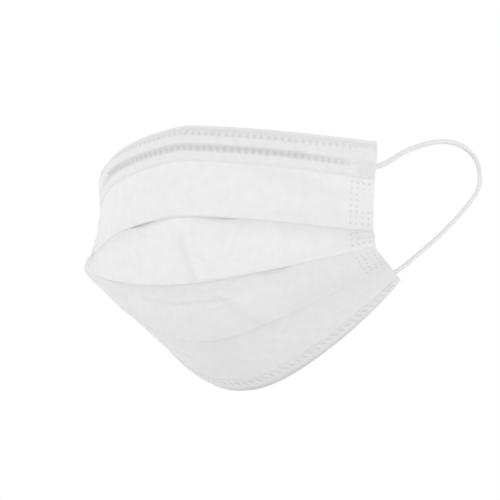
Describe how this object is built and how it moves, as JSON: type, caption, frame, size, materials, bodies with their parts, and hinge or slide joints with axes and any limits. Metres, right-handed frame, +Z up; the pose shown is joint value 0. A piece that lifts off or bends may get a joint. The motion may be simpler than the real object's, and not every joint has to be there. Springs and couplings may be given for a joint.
{
  "type": "surgical face mask",
  "caption": "Pleated cloth face mask opened as worn, with a stiffened nose band, a bottom hem and elastic ear loops.",
  "frame": {"origin": "where the top edge's inner face sits on the bridge of the nose, on the centre line", "axes": "the mask faces -Y, +X is the wearer's left, +Z is up"},
  "size_m": [0.1816, 0.1179, 0.1116],
  "materials": {
    "mask_cloth": "white spunbond nonwoven, matt, slightly translucent",
    "band_cloth": "white spunbond nonwoven, folded over the top edge, with two rows of weld marks",
    "hem_cloth": "white spunbond nonwoven, folded over the bottom edge, with a row of weld marks",
    "wire_metal": "plain flat soft strip",
    "elastic_cord": "white knitted round elastic",
    "elastic_end": "white knitted elastic, pressed flat by the weld"
  },
  "bodies": {
    "root": {"mask_body": "mask_cloth", "top_band": "band_cloth", "bottom_hem": "hem_cloth", "nose_wire": "wire_metal", "ear_loop_left": "elastic_cord", "ear_loop_right": "elastic_cord", "loop_end_left_top": "elastic_end", "loop_end_left_bottom": "elastic_end", "loop_end_right_top": "elastic_end", "loop_end_right_bottom": "elastic_end"}
  },
  "joints": []
}
